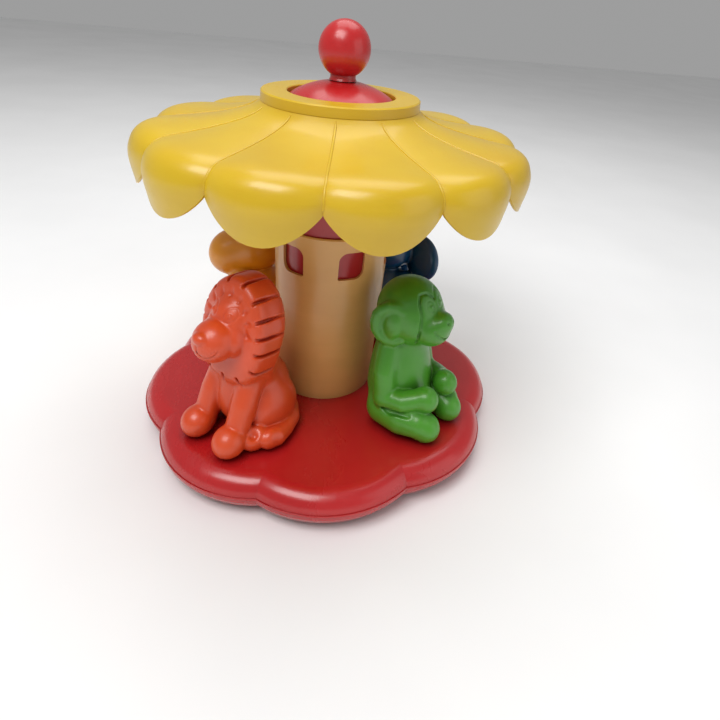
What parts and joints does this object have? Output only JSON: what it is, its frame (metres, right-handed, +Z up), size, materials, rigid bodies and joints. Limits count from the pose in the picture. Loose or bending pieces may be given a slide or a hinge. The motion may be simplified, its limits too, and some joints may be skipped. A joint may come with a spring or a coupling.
{
  "type": "toy merry go round",
  "caption": "Table-top toy carousel: lobed base, windowed tower, petal canopy and seated animal riders, spun by pressing a ball knob on top.",
  "frame": {"origin": "on the table under the middle of the base, on the spin axis", "axes": "+Z up along the spin axis; each rider sits halfway between the X and Y axes; lion towards -X -Y, monkey towards +X -Y"},
  "size_m": [0.2474, 0.2474, 0.274],
  "materials": {
    "foot_plastic": "moulded",
    "pad_rubber": "moulded",
    "post_plastic": "natural",
    "screw_steel": "zinc plated",
    "washer_steel": "plain",
    "ring_steel": "oiled",
    "spring_steel": "drawn wire",
    "base_red": "gloss moulded",
    "pan_red": "gloss moulded",
    "bush_plastic": "natural acetal",
    "sleeve_cream": "satin moulded",
    "inner_red": "moulded",
    "canopy_yellow": "gloss moulded",
    "collar_yellow": "gloss moulded",
    "lion_orange": "satin moulded",
    "monkey_green": "satin moulded",
    "bear_yellow": "satin moulded",
    "elephant_blue": "satin moulded",
    "clutch_plastic": "natural acetal",
    "cap_plastic": "moulded",
    "knob_red": "gloss moulded",
    "dome_red": "gloss moulded",
    "strip_steel": "twisted strip",
    "shoe_plastic": "natural acetal",
    "pin_steel": "ground",
    "nut_plastic": "natural acetal"
  },
  "bodies": {
    "stand": {"foot_disc": "foot_plastic", "foot_pads": "pad_rubber", "centre_post": "post_plastic", "screws_post": "screw_steel", "thrust_washer": "washer_steel", "retaining_ring": "ring_steel", "return_spring": "spring_steel"},
    "carousel": {"base_shell": "base_red", "base_pan": "pan_red", "screws_base": "screw_steel", "lower_bush": "bush_plastic", "upper_bush": "bush_plastic", "tower_sleeve": "sleeve_cream", "inner_tower": "inner_red", "screws_tower": "screw_steel", "canopy": "canopy_yellow", "collar_ring": "collar_yellow", "screws_canopy": "screw_steel", "lion": "lion_orange", "monkey": "monkey_green", "bear": "bear_yellow", "elephant": "elephant_blue", "screws_riders": "screw_steel", "clutch_ring": "clutch_plastic", "nut_cap": "cap_plastic", "screws_cap": "screw_steel"},
    "plunger": {"ball_knob": "knob_red", "dome_cap": "dome_red", "drive_strip": "strip_steel", "guide_shoe": "shoe_plastic", "strip_pins": "pin_steel"},
    "drive_nut": {"drive_nut": "nut_plastic"}
  },
  "joints": [
    {"name": "carousel_spin", "type": "hinge", "parent": "stand", "child": "carousel", "pos_m": [0, 0, 0.0085], "axis": [0, 0, 1], "continuous": true},
    {"name": "plunger_slide", "type": "slide", "parent": "stand", "child": "plunger", "axis": [0, 0, 1], "range_m": [-0.03, 0], "stiffness_N_per_m": 90, "springref_m": 0.012, "deforming": ["return_spring"]},
    {"name": "drive_nut_spin", "type": "hinge", "parent": "stand", "child": "drive_nut", "pos_m": [0, 0, 0.16], "axis": [0, 0, 1], "range_deg": [0, 270.5]}
  ],
  "couplings": [
    {"joint": "drive_nut_spin", "follows": "plunger_slide", "rad_per_m": -157.08}
  ]
}
